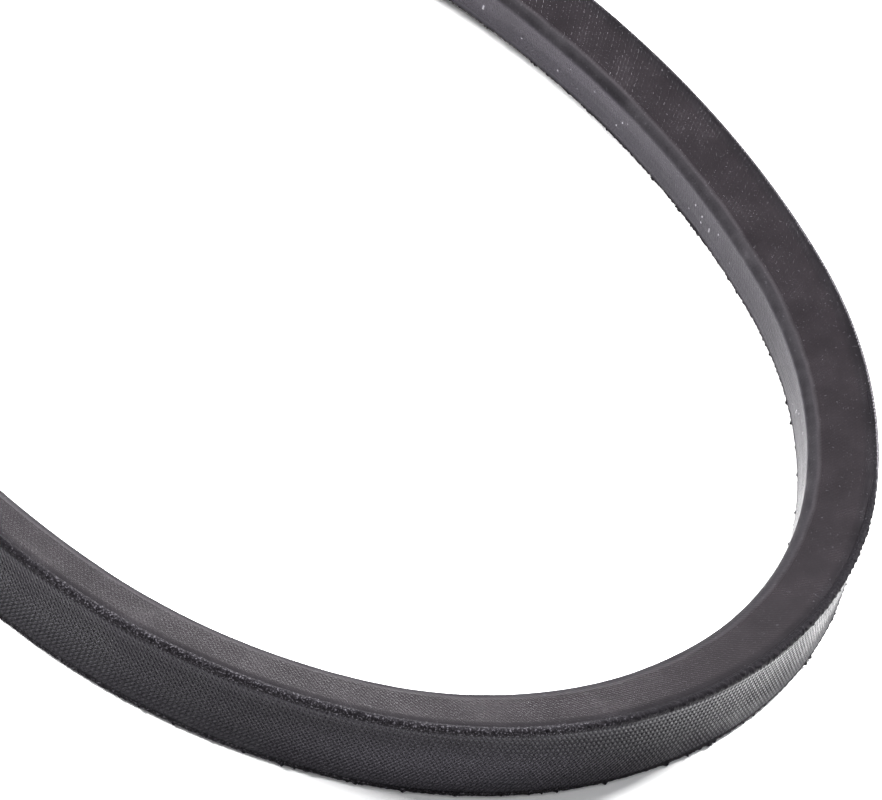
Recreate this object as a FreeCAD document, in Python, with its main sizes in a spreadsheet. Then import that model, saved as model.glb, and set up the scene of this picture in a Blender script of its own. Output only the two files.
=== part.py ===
import FreeCAD, Part
import math
import os

import Sketcher

# A wrapped V belt: an endless loop of trapezium section, wide face outwards.
#
# The loop lies flat in the XY plane, in the oval that a free belt springs into, with its origin at the
# middle of the loop and halfway up the section. X runs along the oval's longer axis, Z across the belt.
#
# A place in the section is given as (u, z): u is measured outwards from the inside (narrow) face, and z
# across the belt from its middle. Every ring is its section swept along the inside line of the loop.

DRIVING_DIMENSIONS = {
    # The loop, on its inside line: lengths in mm, angles in degrees. Each quarter is three tangent arcs,
    # and the radius of the third one follows from the length.
    "inside_length": 457.2,
    "end_radius": 52.5,
    "end_half_angle": 45,
    "shoulder_radius": 71.3,
    "shoulder_angle": 28.5,
    # The section.
    "top_width": 12.7,
    "thickness": 8.73,
    "groove_angle": 40,
    "top_corner_radius": 0.5,
    "core_corner_radius": 0.3,
    # The two fabric plies, their lapped edges, and the step that a lap ramps over.
    "outer_ply": 0.45,
    "inner_ply": 0.45,
    "lap_ramp": 0.4,
    "outer_lap_margin": 0.3,
    "inner_lap_width": 4.0,
    # The cord, which lies on the pitch line, and the adhesion rubber above and below it.
    "pitch_line_depth": 2.75,
    "upper_adhesion": 1.0,
    "lower_adhesion": 1.0,
    "cord_diameter": 0.85,
    "cord_pitch": 1.05,
    "cord_edge_cover": 0.1,
}

doc = FreeCAD.newDocument("v_belt")
sizes = doc.addObject("Spreadsheet::Sheet", "sizes")
for row, (alias, value) in enumerate(DRIVING_DIMENSIONS.items(), start=1):
    sizes.set(f"A{row}", alias)
    sizes.set(f"B{row}", str(value))
    sizes.setAlias(f"B{row}", alias)
doc.recompute()


def number(expression):
    """The present value of an expression on the sheet."""
    return float(sizes.evalExpression(expression))


# ---------------------------------------------------------------------------------------------------------
# The loop's inside line, as expressions on the sheet.

END_TURN = "sizes.end_half_angle"
SHOULDER_TURN = "(sizes.end_half_angle + sizes.shoulder_angle)"
SIDE_RADIUS = (
    "((sizes.inside_length / 4 * 180 / pi - sizes.end_radius * sizes.end_half_angle"
    " - sizes.shoulder_radius * sizes.shoulder_angle) / (90 - sizes.end_half_angle - sizes.shoulder_angle))"
)
HALF_LENGTH = (
    f"(sizes.end_radius + (sizes.shoulder_radius - sizes.end_radius) * cos({END_TURN})"
    f" + ({SIDE_RADIUS} - sizes.shoulder_radius) * cos({SHOULDER_TURN}))"
)
END_CENTRE_X = f"({HALF_LENGTH} - sizes.end_radius)"
SHOULDER_CENTRE_X = f"(({SIDE_RADIUS} - sizes.shoulder_radius) * cos({SHOULDER_TURN}))"
SHOULDER_CENTRE_Y = f"(-(sizes.shoulder_radius - sizes.end_radius) * sin({END_TURN}))"
SIDE_CENTRE_Y = f"({SHOULDER_CENTRE_Y} - ({SIDE_RADIUS} - sizes.shoulder_radius) * sin({SHOULDER_TURN}))"

# Where the arcs of the first quarter meet: end to shoulder, then shoulder to side.
END_MEET = (
    f"({END_CENTRE_X} + sizes.end_radius * cos({END_TURN}))",
    f"(sizes.end_radius * sin({END_TURN}))",
)
SIDE_MEET = (
    f"({SHOULDER_CENTRE_X} + sizes.shoulder_radius * cos({SHOULDER_TURN}))",
    f"({SHOULDER_CENTRE_Y} + sizes.shoulder_radius * sin({SHOULDER_TURN}))",
)


def mirrored(place, x_sign, y_sign):
    """A place mirrored into another quarter of the loop."""
    return f"({x_sign}1 * {place[0]})", f"({y_sign}1 * {place[1]})"


# Each arc of the loop, anticlockwise from the middle of the +X end: its start and its radius.
LOOP_LINE = [
    ((HALF_LENGTH, None), "sizes.end_radius"),
    (END_MEET, "sizes.shoulder_radius"),
    (SIDE_MEET, SIDE_RADIUS),
    (mirrored(SIDE_MEET, "-", "+"), "sizes.shoulder_radius"),
    (mirrored(END_MEET, "-", "+"), "sizes.end_radius"),
    (mirrored(END_MEET, "-", "-"), "sizes.shoulder_radius"),
    (mirrored(SIDE_MEET, "-", "-"), SIDE_RADIUS),
    (mirrored(SIDE_MEET, "+", "-"), "sizes.shoulder_radius"),
    (mirrored(END_MEET, "+", "-"), "sizes.end_radius"),
]

# ---------------------------------------------------------------------------------------------------------
# The section, as expressions on the sheet.

FLANK_ANGLE = "(sizes.groove_angle / 2)"
PLIES = "(sizes.outer_ply + sizes.inner_ply)"
PITCH_LINE = "(sizes.thickness - sizes.pitch_line_depth)"
ADHESION_TOP = f"({PITCH_LINE} + sizes.upper_adhesion)"
ADHESION_BOTTOM = f"({PITCH_LINE} - sizes.lower_adhesion)"


def half_width(u, depth):
    """Half the width at height u of the outline that lies the given depth inside the belt's surface."""
    return (
        f"(sizes.top_width / 2 - (sizes.thickness - ({u})) * tan({FLANK_ANGLE})"
        f" - ({depth}) / cos({FLANK_ANGLE}))"
    )


def base_corner(depth, radius):
    """The two ends of a rounded base corner, on the base and on the flank, then the rounding's radius."""
    reach = f"(({radius}) * tan((90 - {FLANK_ANGLE}) / 2))"
    flank_u = f"(({depth}) + {reach} * cos({FLANK_ANGLE}))"
    on_base = (depth, f"({half_width(depth, depth)} - {reach})")
    on_flank = (flank_u, half_width(flank_u, depth))
    return [(on_base, radius), (on_flank, None)]


def top_corner(depth, radius):
    """The two ends of a rounded top corner, on the flank and on the back, then the rounding's radius."""
    reach = f"(({radius}) * tan((90 + {FLANK_ANGLE}) / 2))"
    top_u = f"(sizes.thickness - ({depth}))"
    flank_u = f"({top_u} - {reach} * cos({FLANK_ANGLE}))"
    on_flank = (flank_u, half_width(flank_u, depth))
    on_back = (top_u, f"({half_width(top_u, depth)} - {reach})")
    return [(on_flank, radius), (on_back, None)]


def sharp_corner(u, depth):
    """A sharp corner on the flank of the outline at the given depth."""
    return [((u, half_width(u, depth)), None)]


CORE_BASE_REACH = f"(sizes.core_corner_radius * tan((90 - {FLANK_ANGLE}) / 2))"
OUTER_LAP_HALF = f"({half_width(PLIES, PLIES)} - {CORE_BASE_REACH} - sizes.outer_lap_margin - sizes.lap_ramp)"
INNER_LAP_HALF = "(sizes.inner_lap_width / 2)"


def step(from_u, to_u, lap_half, outwards):
    """The ramp where an outline steps over the edge of a lap, walked away from the middle or towards it."""
    inner = ((from_u if outwards else to_u, lap_half), None)
    outer = ((to_u if outwards else from_u, f"({lap_half} + sizes.lap_ramp)"), None)
    return [inner, outer] if outwards else [outer, inner]


def closed_outline(half):
    """The whole outline, anticlockwise, from its +z half as walked from the base to the back."""
    lower = [((u, f"(-1 * {z})"), radius) for (u, z), radius in half]
    upper = []
    for index in range(len(half) - 1, -1, -1):
        place, _ = half[index]
        radius = half[index - 1][1] if index else None
        upper.append((place, radius))
    return lower + upper


# Outlines from the outside inwards, each the boundary between two pieces.
SURFACE = closed_outline(
    base_corner("0", f"(sizes.core_corner_radius + {PLIES})") + top_corner("0", "sizes.top_corner_radius")
)
UNDER_OUTER_PLY = closed_outline(
    step("(2 * sizes.outer_ply)", "sizes.outer_ply", OUTER_LAP_HALF, outwards=True)
    + base_corner("sizes.outer_ply", "(sizes.core_corner_radius + sizes.inner_ply)")
    + sharp_corner("(sizes.thickness - sizes.outer_ply)", "sizes.outer_ply")
)
CORE_BASE = (
    step(f"({PLIES} + sizes.outer_ply)", PLIES, OUTER_LAP_HALF, outwards=True)
    + base_corner(PLIES, "sizes.core_corner_radius")
)
CORE_BACK = (
    sharp_corner(f"(sizes.thickness - {PLIES})", PLIES)
    + step(
        f"(sizes.thickness - {PLIES})",
        f"(sizes.thickness - {PLIES} - sizes.inner_ply)",
        INNER_LAP_HALF,
        outwards=False,
    )
)
CORE = closed_outline(CORE_BASE + CORE_BACK)
TOP_RUBBER = closed_outline(sharp_corner(ADHESION_TOP, PLIES) + CORE_BACK)
UPPER_ADHESION = closed_outline(sharp_corner(PITCH_LINE, PLIES) + sharp_corner(ADHESION_TOP, PLIES))
LOWER_ADHESION = closed_outline(sharp_corner(ADHESION_BOTTOM, PLIES) + sharp_corner(PITCH_LINE, PLIES))
BASE_RUBBER = closed_outline(CORE_BASE + sharp_corner(ADHESION_BOTTOM, PLIES))


# ---------------------------------------------------------------------------------------------------------
# Sketches and sweeps.


def arc_centre(start, end, radius):
    """The centre of an anticlockwise arc of under half a turn."""
    chord = end - start
    across = FreeCAD.Vector(-chord.y, chord.x, 0).normalize()
    rise = math.sqrt(radius ** 2 - (chord.Length / 2) ** 2)
    return (start + end) / 2 + across * rise


# How a sketch names its own origin, its X axis, and the two ends of a line or an arc.
START = 1
END = 2
ORIGIN = (-1, START)
X_AXIS = -1


def bind(sketch, kind, references, expression):
    """Adds a dimension to a sketch and binds it to an expression on the sheet."""
    index = sketch.addConstraint(Sketcher.Constraint(kind, *references, number(expression)))
    sketch.setExpression(f"Constraints[{index}]", expression)


def draw_loop(sketch, outline):
    """Draws a closed anticlockwise loop: lines, and arcs where a radius is given, through fixed points."""
    places = [FreeCAD.Vector(number(x), number(y) if y else 0, 0) for (x, y), _ in outline]
    for index, (_, radius) in enumerate(outline):
        start = places[index]
        end = places[(index + 1) % len(places)]
        if radius:
            centre = arc_centre(start, end, number(radius))
            circle = Part.Circle(centre, FreeCAD.Vector(0, 0, 1), number(radius))
            first = math.atan2(start.y - centre.y, start.x - centre.x)
            last = math.atan2(end.y - centre.y, end.x - centre.x)
            sketch.addGeometry(Part.ArcOfCircle(circle, first, last), False)
            bind(sketch, "Radius", (index,), radius)
        else:
            sketch.addGeometry(Part.LineSegment(start, end), False)
    for index, ((x, y), _) in enumerate(outline):
        following = (index + 1) % len(outline)
        sketch.addConstraint(Sketcher.Constraint("Coincident", index, END, following, START))
        bind(sketch, "DistanceX", (*ORIGIN, index, START), x)
        if y:
            bind(sketch, "DistanceY", (*ORIGIN, index, START), y)
        else:
            sketch.addConstraint(Sketcher.Constraint("PointOnObject", index, START, X_AXIS))


def sketch_on(body, role, name):
    """A new sketch on one of the body's own origin planes."""
    plane = next(feature for feature in body.Origin.OriginFeatures if feature.Role == role)
    sketch = body.newObject("Sketcher::SketchObject", name)
    sketch.AttachmentSupport = [(plane, "")]
    sketch.MapMode = "FlatFace"
    return sketch


def section_sketch(body, name, outline):
    """The section at the +X end of the loop, with its u measured from the inside line."""
    sketch = sketch_on(body, "XZ_Plane", name)
    placed = [((f"({HALF_LENGTH} + ({u}))", z), radius) for (u, z), radius in outline]
    draw_loop(sketch, placed)
    return sketch


def ring_body(label, outline, hollow=None):
    """A body whose outline is swept round the loop, less the hollow outline if there is one."""
    body = doc.addObject("PartDesign::Body", label)
    body.Label = label
    loop = sketch_on(body, "XY_Plane", f"{label}_loop")
    draw_loop(loop, LOOP_LINE)
    doc.recompute()
    spine = (loop, [f"Edge{index + 1}" for index in range(len(LOOP_LINE))])
    ring = body.newObject("PartDesign::AdditivePipe", f"{label}_ring")
    ring.Profile = (section_sketch(body, f"{label}_section", outline), [""])
    ring.Spine = spine
    doc.recompute()
    if hollow:
        bore = body.newObject("PartDesign::SubtractivePipe", f"{label}_hollow")
        bore.Profile = (section_sketch(body, f"{label}_inside", hollow), [""])
        bore.Spine = spine
        doc.recompute()
    return body


# ---------------------------------------------------------------------------------------------------------
# The tensile cord.


def cord_turns():
    """As many whole turns as fit across the core at the cord's lower edge."""
    lowest = f"({PITCH_LINE} - sizes.cord_diameter / 2)"
    room = f"({half_width(lowest, PLIES)} - sizes.cord_edge_cover - sizes.cord_diameter / 2)"
    return math.floor(number(f"2 * {room} / sizes.cord_pitch"))


def loop_arcs():
    """Each arc of the inside line as its centre, its radius and the directions where it starts and ends."""
    end = FreeCAD.Vector(number(END_CENTRE_X), 0, 0)
    shoulder = FreeCAD.Vector(number(SHOULDER_CENTRE_X), number(SHOULDER_CENTRE_Y), 0)
    side = FreeCAD.Vector(0, number(SIDE_CENTRE_Y), 0)
    end_radius = number("sizes.end_radius")
    shoulder_radius = number("sizes.shoulder_radius")
    side_radius = number(SIDE_RADIUS)
    first = math.radians(number(END_TURN))
    second = math.radians(number(SHOULDER_TURN))
    half = math.pi
    whole = 2 * math.pi
    return [
        (end, end_radius, 0, first),
        (shoulder, shoulder_radius, first, second),
        (side, side_radius, second, half - second),
        (FreeCAD.Vector(-shoulder.x, shoulder.y, 0), shoulder_radius, half - second, half - first),
        (-end, end_radius, half - first, half + first),
        (-shoulder, shoulder_radius, half + first, half + second),
        (-side, side_radius, half + second, whole - second),
        (FreeCAD.Vector(shoulder.x, -shoulder.y, 0), shoulder_radius, whole - second, whole - first),
        (end, end_radius, whole - first, whole),
    ]


def turn_length():
    """The length of one turn along the pitch line."""
    return number("sizes.inside_length") + 2 * math.pi * number(PITCH_LINE)


def cord_line():
    """The cord's middle line: on each arc of the loop a helix, all of one slope, joined end to end."""
    turns = cord_turns()
    pitch = number("sizes.cord_pitch")
    pitch_line = number(PITCH_LINE)
    z = -turns * pitch / 2
    edges = []
    for _ in range(turns):
        for centre, inside_radius, start, end in loop_arcs():
            radius = inside_radius + pitch_line
            rise_per_turn = pitch * 2 * math.pi * radius / turn_length()
            rise = rise_per_turn * (end - start) / (2 * math.pi)
            helix = Part.makeHelix(rise_per_turn, rise, radius)
            helix.rotate(FreeCAD.Vector(0, 0, 0), FreeCAD.Vector(0, 0, 1), math.degrees(start))
            helix.translate(centre + FreeCAD.Vector(0, 0, z))
            edges += helix.Edges
            z += rise
    return Part.Wire(edges)


# The profile is four quarter arcs, whose ends stay clear of the face between the two adhesion plies, which
# runs along the cord's middle.
PROFILE_ARCS = 4
PROFILE_TURN = 45


def cord_profile(centre, heading):
    """The cord's round section, square to its heading."""
    circle = Part.Circle(centre, heading, number("sizes.cord_diameter / 2"))
    arc_angle = 2 * math.pi / PROFILE_ARCS
    arcs = [circle.toShape(index * arc_angle, (index + 1) * arc_angle) for index in range(PROFILE_ARCS)]
    for arc in arcs:
        arc.rotate(centre, heading, PROFILE_TURN)
    return Part.Wire(arcs)


def tensile_cord():
    """The wound cord: a round section swept along the cord's line."""
    line = cord_line()
    start = line.OrderedVertexes[0].Point
    heading = FreeCAD.Vector(0, turn_length(), number("sizes.cord_pitch")).normalize()
    sweep = Part.BRepOffsetAPI.MakePipeShell(line)
    sweep.setFrenetMode(True)
    sweep.add(cord_profile(start, heading), False, False)
    sweep.build()
    sweep.makeSolid()
    cord = doc.addObject("Part::Feature", "tensile_cord")
    cord.Label = "tensile_cord"
    cord.Shape = sweep.shape()
    cord.Placement = FreeCAD.Placement()
    return cord


def grooved_ply(label, outline, cord):
    """An adhesion ply: its ring, with the cord's half-round grooves cut in the face that it is wound on."""
    ply = doc.addObject("Part::Cut", label)
    ply.Label = label
    ply.Base = ring_body(f"{label}_plain", outline)
    ply.Tool = cord
    doc.recompute()
    return ply


# ---------------------------------------------------------------------------------------------------------
# The belt, from the outside inwards.

# The share of the belt's volume by which its pieces may miss it, which allows for the cord's curved cuts.
FILL_TOLERANCE = 1e-4

outer_cover_ply = ring_body("outer_cover_ply", SURFACE, hollow=UNDER_OUTER_PLY)
inner_cover_ply = ring_body("inner_cover_ply", UNDER_OUTER_PLY, hollow=CORE)
top_rubber = ring_body("top_rubber", TOP_RUBBER)
cord = tensile_cord()
upper_adhesion_rubber = grooved_ply("upper_adhesion_rubber", UPPER_ADHESION, cord)
lower_adhesion_rubber = grooved_ply("lower_adhesion_rubber", LOWER_ADHESION, cord)
base_rubber = ring_body("base_rubber", BASE_RUBBER)

SUB_PARTS = [
    outer_cover_ply,
    inner_cover_ply,
    top_rubber,
    upper_adhesion_rubber,
    cord,
    lower_adhesion_rubber,
    base_rubber,
]

doc.recompute()
for item in doc.Objects:
    if {"Invalid", "Error"} & set(item.State):
        raise RuntimeError(f"{item.Label} failed: {item.State}")
for part in SUB_PARTS:
    if part.Shape.isNull() or not part.Shape.isValid() or len(part.Shape.Solids) != 1:
        raise RuntimeError(f"{part.Label} is not one valid solid")

# The pieces are moulded together, so they fill the belt's section with nothing left over or shared.
belt_volume = doc.getObject("outer_cover_ply_ring").Shape.Volume
filled_volume = sum(part.Shape.Volume for part in SUB_PARTS)
if abs(filled_volume - belt_volume) > FILL_TOLERANCE * belt_volume:
    raise RuntimeError(f"the pieces hold {filled_volume:.1f} mm3 of the belt's {belt_volume:.1f} mm3")

os.makedirs("parts", exist_ok=True)
for part in SUB_PARTS:
    part.Shape.exportStep(f"parts/{part.Label}.step")
    print(f"{part.Label}: {part.Shape.Volume:.1f} mm3, {len(part.Shape.Faces)} faces")
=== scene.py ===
"""Classical wrapped V belt, lying on its side on a pale studio floor.

The outer cover ply is rebuilt as a woven surface. Three lines of moulding flash are pieces of their own: one along
each outer corner and one along the lower edge of the base. The six bonded pieces inside keep their shape from the
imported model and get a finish. Lengths in this file are in millimetres until they go into a mesh.
"""

import logging
from dataclasses import dataclass, field
from enum import Enum

import bpy
import numpy as np
from mathutils import Matrix, Vector


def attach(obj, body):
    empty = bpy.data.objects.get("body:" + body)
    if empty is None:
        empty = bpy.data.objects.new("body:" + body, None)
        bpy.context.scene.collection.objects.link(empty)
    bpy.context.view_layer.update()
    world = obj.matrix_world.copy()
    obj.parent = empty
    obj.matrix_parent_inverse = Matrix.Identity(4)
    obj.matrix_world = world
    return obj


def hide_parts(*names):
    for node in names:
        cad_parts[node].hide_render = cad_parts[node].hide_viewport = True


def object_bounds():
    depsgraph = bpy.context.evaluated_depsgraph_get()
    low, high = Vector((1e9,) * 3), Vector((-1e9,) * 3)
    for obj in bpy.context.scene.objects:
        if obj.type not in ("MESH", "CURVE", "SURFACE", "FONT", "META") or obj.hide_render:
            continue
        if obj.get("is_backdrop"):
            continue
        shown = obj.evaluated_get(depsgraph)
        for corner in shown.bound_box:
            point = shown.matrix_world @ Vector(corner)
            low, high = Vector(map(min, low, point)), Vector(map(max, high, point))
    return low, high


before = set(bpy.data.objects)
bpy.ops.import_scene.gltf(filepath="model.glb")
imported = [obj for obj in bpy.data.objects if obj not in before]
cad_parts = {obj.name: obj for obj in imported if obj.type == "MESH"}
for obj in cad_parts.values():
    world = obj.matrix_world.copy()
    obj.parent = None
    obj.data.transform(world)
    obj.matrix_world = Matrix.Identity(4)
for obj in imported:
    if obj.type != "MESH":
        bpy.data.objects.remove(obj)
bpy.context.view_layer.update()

MM = 0.001  # metres in a millimetre
CLOTH_MAP = "cloth_mm"  # UV map in millimetres: u along the back of the belt, v round its section
LATTICE_SPAN = 40.0  # a little more than the way round the section
LATTICE_SPARE = 64  # rows that a mottle's lattice has over those that the section needs
SPAN = ("Value", "From Min", "From Max", "To Min", "To Max")  # inputs of the node that maps one range to another
COOL = (0.985, 0.99, 1.01)  # red, green and blue of the room's greys, as shares of their level
LOG = logging.getLogger("v_belt")

Array = np.ndarray


class Side(Enum):
    """Which of the belt's two flanks, by the sign of z."""

    UPPER = 1
    LOWER = -1


def linear(hex_colour: str) -> tuple[float, float, float, float]:
    """Turn an sRGB hex colour into a linear one.

    Args:
        hex_colour: six hex digits, with or without a leading hash.

    Returns:
        Linear red, green, blue and an alpha of one.
    """
    text = hex_colour.lstrip("#")
    parts = [int(text[k : k + 2], 16) / 255.0 for k in (0, 2, 4)]
    red, green, blue = (c / 12.92 if c <= 0.04045 else ((c + 0.055) / 1.055) ** 2.4 for c in parts)
    return red, green, blue, 1.0


def grey(level: float) -> tuple[float, float, float, float]:
    """A linear grey, a touch cool."""
    red, green, blue = (level * share for share in COOL)
    return red, green, blue, 1.0


def put(
    tree: bpy.types.NodeTree, kind: str, inputs: dict | None = None, stops: tuple = (), **settings: object
) -> bpy.types.NodeOutputs:
    """Add one node with its settings and links.

    Args:
        tree: the node tree it goes into.
        kind: the node's type, without the leading ShaderNode.
        inputs: for each input, by name or index, the output that feeds it or its value.
        stops: place and linear colour of each stop, where the node has a colour band.
        settings: properties of the node.

    Returns:
        The node's outputs.
    """
    node = tree.nodes.new("ShaderNode" + kind)
    for name, value in settings.items():
        setattr(node, name, value)
    for key, value in (inputs or {}).items():
        if isinstance(value, bpy.types.NodeSocket):
            tree.links.new(value, node.inputs[key])
        else:
            node.inputs[key].default_value = value
    for count, (place, colour) in enumerate(stops):
        band = node.color_ramp.elements
        stop = band[count] if count < len(band) else band.new(place)
        stop.position, stop.color = place, colour
    return node.outputs


def calc(tree: bpy.types.NodeTree, operation: str, *values: object) -> bpy.types.NodeSocket:
    """Add a Math node: one operation on up to three outputs or numbers."""
    return put(tree, "Math", dict(enumerate(values)), operation=operation)[0]


def remap(tree: bpy.types.NodeTree, *values: object) -> bpy.types.NodeSocket:
    """Add a MapRange node, by an output, the range it has and the range it gets, which is 0 to 1 if left out."""
    return put(tree, "MapRange", dict(zip(SPAN, values)))[0]


def dress_shader(
    tree: bpy.types.NodeTree, colour: object, rough: object, height: object, rise: float, strength: float = 1.0
) -> None:
    """Feed the tree's shader its colour, its roughness and a bump, whose rise is in millimetres."""
    bump = put(tree, "Bump", {"Strength": strength, "Distance": rise * MM, "Height": height})[0]
    for name, source in (("Base Color", colour), ("Roughness", rough), ("Normal", bump)):
        tree.links.new(source, tree.nodes["Principled BSDF"].inputs[name])


def start_material(name: str, **values: object) -> tuple[bpy.types.Material, bpy.types.NodeTree]:
    """Make a material that has a shader and nothing more.

    Args:
        name: what the material is.
        values: values for inputs of the shader, with underscores for the spaces in their names.

    Returns:
        The material and its node tree.
    """
    made = bpy.data.materials.new(name)
    made.use_nodes = True
    for key, value in values.items():
        made.node_tree.nodes["Principled BSDF"].inputs[key.replace("_", " ")].default_value = value
    return made, made.node_tree


def into_scene(name: str, data: bpy.types.ID) -> bpy.types.Object:
    """Make an object of a mesh, a light or a camera, and link it to the scene at the origin."""
    made = bpy.data.objects.new(name, data)
    bpy.context.scene.collection.objects.link(made)
    return made


def smooth(x: Array, low: float, high: float) -> Array:
    """Smoothstep: 0 below low, 1 above high, 3t^2 - 2t^3 between, with t the share of the way."""
    t = np.clip((x - low) / (high - low), 0.0, 1.0)
    return t * t * (3.0 - 2.0 * t)


def mottle(s: Array, v: Array, length: float, cell: float, seed: int) -> Array:
    """Smooth random unevenness on the cloth, from -1 to 1, that joins up round the loop.

    A random number stands at each corner of a square lattice, and each point takes the four round it, weighted by
    smoothstep along and across. The lattice repeats after the belt's length.

    Args:
        s: distance along the back.
        v: distance round the section.
        length: length of the back round the loop.
        cell: lattice spacing.
        seed: seed of the lattice.

    Returns:
        The unevenness at each point.
    """
    columns = max(4, int(round(length / cell)))
    rows = LATTICE_SPARE + int(np.ceil(LATTICE_SPAN / cell))
    lattice = np.random.default_rng(seed).uniform(-1.0, 1.0, (rows, columns))
    x, y = s * columns / length, v / cell + rows / 2
    i, j = np.floor(x).astype(int), np.floor(y).astype(int)
    fx, fy = smooth(x - i, 0.0, 1.0), smooth(y - j, 0.0, 1.0)
    i0, i1, j0, j1 = i % columns, (i + 1) % columns, j % rows, (j + 1) % rows
    near = lattice[j0, i0] * (1 - fx) + lattice[j0, i1] * fx
    far = lattice[j1, i0] * (1 - fx) + lattice[j1, i1] * fx
    return near * (1 - fy) + far * fy


@dataclass
class LoopLine:
    """The closed line of the belt's inside face: eight arcs, alike in all four quarters.

    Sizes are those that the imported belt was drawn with. The side arc's radius isn't free: it is what the inside
    length leaves.
    """

    inside_length: float = 457.2
    end_radius: float = 52.5
    end_half_angle: float = 45.0
    shoulder_radius: float = 71.3
    shoulder_angle: float = 28.5
    thickness: float = 8.73
    turns: Array = field(init=False)
    starts: Array = field(init=False)
    radii: Array = field(init=False)
    centres: Array = field(init=False)

    def __post_init__(self) -> None:
        """Work out the arcs: each centre lies on the line through its neighbour's, a radius difference away."""
        end, shoulder = np.radians([self.end_half_angle, self.shoulder_angle])
        side = np.pi / 2 - end - shoulder
        r1, r2 = self.end_radius, self.shoulder_radius
        r3 = (self.inside_length / 4 - r1 * end - r2 * shoulder) / side
        x1 = (r2 - r1) * np.cos(end) + (r3 - r2) * np.cos(end + shoulder)
        x2 = x1 - (r2 - r1) * np.cos(end)
        y2 = -(r2 - r1) * np.sin(end)
        y3 = y2 - (r3 - r2) * np.sin(end + shoulder)
        self.radii = np.array([r1, r2, r3, r2, r1, r2, r3, r2])
        self.turns = np.array([end, shoulder, side, shoulder, end, shoulder, side, shoulder])
        self.turns[[0, 2, 4, 6]] *= 2
        self.centres = np.array([(x1, 0), (x2, y2), (0, y3), (-x2, y2), (-x1, 0), (-x2, -y2), (0, -y3), (x2, -y2)])
        self.starts = np.concatenate([[0.0], np.cumsum(self.turns)]) - end

    @property
    def back_length(self) -> float:
        """Length of the back round the loop: each arc's radius plus the belt's thickness, times its turn."""
        return float(np.sum((self.radii + self.thickness) * self.turns))

    def place(self, s: Array, u: Array, z: Array) -> Array:
        """Carry section points round the loop.

        The back's length s gives the arc and the direction outwards; the point is that arc's centre plus its radius
        plus u along that direction, at height z.

        Args:
            s: distance along the back from the middle of the +X end, anticlockwise.
            u: distance outwards from the inside face.
            z: height over the belt's middle plane.

        Returns:
            Points, with x, y and z last.
        """
        runs = np.concatenate([[0.0], np.cumsum((self.radii + self.thickness) * self.turns)])
        runs -= runs[1] / 2
        s = np.mod(s - runs[0], self.back_length) + runs[0]
        arc = np.clip(np.searchsorted(runs, s, side="right") - 1, 0, 7)
        angle = self.starts[arc] + (s - runs[arc]) / (self.radii[arc] + self.thickness)
        reach = self.radii[arc] + u
        x = self.centres[arc, 0] + reach * np.cos(angle)
        y = self.centres[arc, 1] + reach * np.sin(angle)
        return np.stack([x, y, np.broadcast_to(z, x.shape)], axis=-1)


@dataclass
class Section:
    """The belt's trapezium section, by distance v round it from the middle of the back towards +z.

    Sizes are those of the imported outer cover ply, taken on its outside.
    """

    thickness: float = 8.73
    top_width: float = 12.7
    groove_angle: float = 40.0
    back_corner: float = 0.5
    base_corner: float = 1.2
    slant: float = field(init=False)
    back_end: float = field(init=False)
    flank_start: float = field(init=False)
    flank_end: float = field(init=False)
    base_start: float = field(init=False)
    middle: float = field(init=False)

    def __post_init__(self) -> None:
        """Work out the flank's slant, and where each stretch of the half section ends."""
        self.slant = np.radians(self.groove_angle / 2)
        reach = self.top_width / 2
        turn_back, turn_base = np.pi / 2 + self.slant, np.pi / 2 - self.slant
        self.back_end = reach - self.back_corner * np.tan(turn_back / 2)
        base_edge = reach - self.thickness * np.tan(self.slant)
        base_flat = base_edge - self.base_corner * np.tan(turn_base / 2)
        whole = self.thickness / np.cos(self.slant)
        flank = whole - self.back_corner * np.tan(turn_back / 2) - self.base_corner * np.tan(turn_base / 2)
        self.flank_start = self.back_end + self.back_corner * turn_back
        self.flank_end = self.flank_start + flank
        self.base_start = self.flank_end + self.base_corner * turn_base
        self.middle = self.base_start + base_flat

    def at(self, v: Array) -> tuple[Array, Array, Array, Array]:
        """Find points on the section and their outward directions.

        The back is a straight run at u = thickness; then an arc of the back corner's radius, the slanting flank, an
        arc of the base corner's radius and the base at u = 0. The other half is the same with z turned over.

        Args:
            v: distance round the section, negative for the -z half.

        Returns:
            u and z of each point, then u and z of its outward direction.
        """
        sign = np.where(v < 0, -1.0, 1.0)
        v = np.abs(v)
        turn_back = np.pi / 2 + self.slant
        # Direction of the outward normal, as an angle from +u towards +z.
        back_arc = np.clip((v - self.back_end) / self.back_corner, 0.0, turn_back)
        base_arc = np.clip((v - self.flank_end) / self.base_corner, 0.0, np.pi / 2 - self.slant)
        heading = back_arc + base_arc
        on_back = np.minimum(v, self.back_end)
        on_flank = np.clip(v - self.flank_start, 0.0, self.flank_end - self.flank_start)
        on_base = np.maximum(v - self.base_start, 0.0)
        # Each stretch adds its own run: straights along their line, arcs as radius times the change of normal.
        u = self.thickness + self.back_corner * (np.cos(back_arc) - 1.0) - on_flank * np.cos(self.slant)
        u += self.base_corner * (np.cos(turn_back + base_arc) - np.cos(turn_back))
        z = on_back + self.back_corner * np.sin(back_arc) - on_flank * np.sin(self.slant)
        z += self.base_corner * (np.sin(turn_back + base_arc) - np.sin(turn_back)) - on_base
        return u, sign * z, np.cos(heading), sign * np.sin(heading)


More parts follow.
